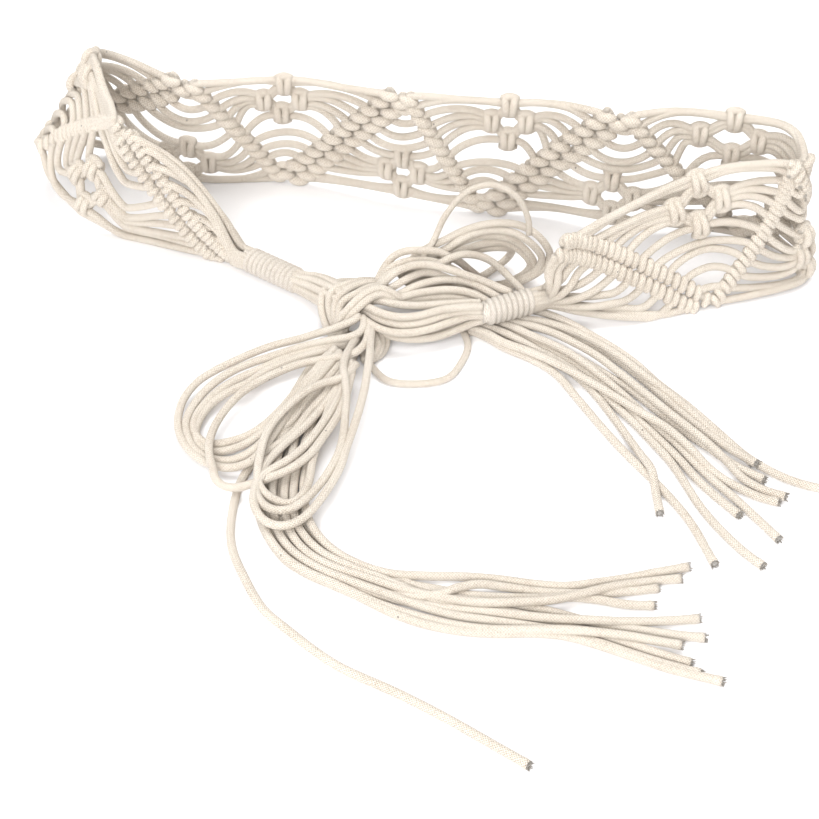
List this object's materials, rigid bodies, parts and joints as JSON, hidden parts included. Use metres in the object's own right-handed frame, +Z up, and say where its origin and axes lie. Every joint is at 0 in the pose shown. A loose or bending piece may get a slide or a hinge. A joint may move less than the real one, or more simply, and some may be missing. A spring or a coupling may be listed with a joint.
{
  "type": "rope belt",
  "caption": "Knotted cord belt with an open net band, closed round the waist and tied in front with a bow and loose ends.",
  "frame": {"origin": "under the middle of the belt's box, on the surface that the belt lies on", "axes": "+X along the belt's width, to the right seen from the bow; +Y from the bow to the back of the loop; +Z up, along the band's width"},
  "size_m": [0.3156, 0.339, 0.0695],
  "materials": {
    "cotton_cord": "matt waxed cotton cord, cream"
  },
  "bodies": {
    "root": {"net_band": "cotton_cord", "left_wrap": "cotton_cord", "right_wrap": "cotton_cord", "right_tail": "cotton_cord", "left_tail": "cotton_cord", "lone_strand": "cotton_cord", "bow_small_loop": "cotton_cord", "left_lead": "cotton_cord", "front_bundle": "cotton_cord", "bow_knot": "cotton_cord", "bow_left_loop": "cotton_cord", "bow_front_loop": "cotton_cord", "bow_right_loop": "cotton_cord", "bow_arch": "cotton_cord"}
  },
  "joints": []
}
